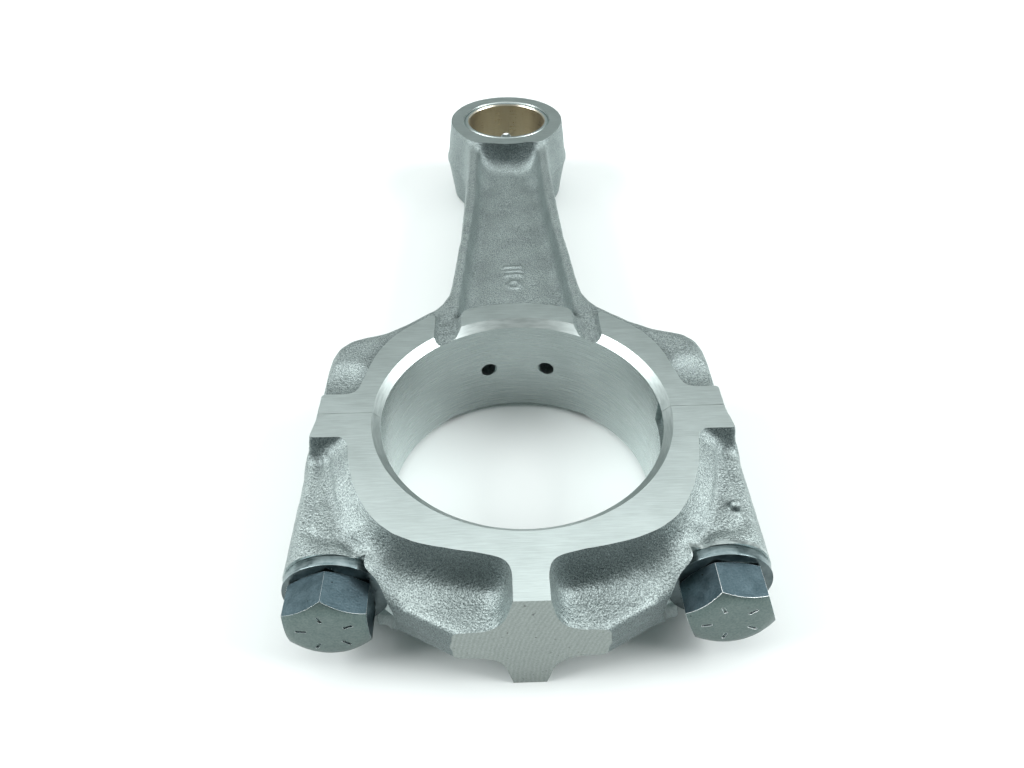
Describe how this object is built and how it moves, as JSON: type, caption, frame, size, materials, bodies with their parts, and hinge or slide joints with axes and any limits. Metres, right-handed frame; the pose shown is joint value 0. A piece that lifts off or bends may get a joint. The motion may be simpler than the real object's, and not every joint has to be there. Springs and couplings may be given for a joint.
{
  "type": "connecting rod",
  "caption": "Forged I-section connecting rod with a split big end, bolted cap, hollow dowels and a bronze small-end bush.",
  "frame": {"origin": "under the middle of the whole part, on the plane it lies on, which is the lower side face of the big end", "axes": "+Y along the rod from the big end to the small end, +Z along both bores, +X across the big end from bolt to bolt"},
  "size_m": [0.09, 0.2031, 0.027],
  "materials": {
    "forged_rod": "shot-blasted forged steel with ground side faces and honed bores",
    "forged_cap": "shot-blasted forged steel with ground side faces and a milled end pad",
    "bronze": "fine-bored bronze",
    "bolt_steel": "dark blued steel, worn bright at the edges",
    "washer_steel": "dark hardened steel",
    "dowel_steel": "ground steel"
  },
  "bodies": {
    "rod": {"rod": "forged_rod", "small_end_bush": "bronze", "dowel_left": "dowel_steel", "dowel_right": "dowel_steel"},
    "cap": {"cap": "forged_cap"},
    "washer_left": {"washer_left": "washer_steel"},
    "bolt_left": {"bolt_left": "bolt_steel"},
    "washer_right": {"washer_right": "washer_steel"},
    "bolt_right": {"bolt_right": "bolt_steel"}
  },
  "joints": [
    {"name": "cap_slide", "type": "slide", "parent": "rod", "child": "cap", "axis": [0, -1, 0], "range_m": [0, 0.03]},
    {"name": "washer_left_slide", "type": "slide", "parent": "cap", "child": "washer_left", "axis": [0, -1, 0], "range_m": [0, 0.01688]},
    {"name": "bolt_left_turn", "type": "hinge", "parent": "washer_left", "child": "bolt_left", "pos_m": [-0.0353, -0.0949, 0.0135], "axis": [0, -1, 0], "range_deg": [0, 4861]},
    {"name": "washer_right_slide", "type": "slide", "parent": "cap", "child": "washer_right", "axis": [0, -1, 0], "range_m": [0, 0.01688]},
    {"name": "bolt_right_turn", "type": "hinge", "parent": "washer_right", "child": "bolt_right", "pos_m": [0.0353, -0.0949, 0.0135], "axis": [0, -1, 0], "range_deg": [0, 4861]}
  ],
  "couplings": [
    {"joint": "bolt_left_turn", "follows": "washer_left_slide", "rad_per_m": 5026.5},
    {"joint": "bolt_right_turn", "follows": "washer_right_slide", "rad_per_m": 5026.5}
  ]
}
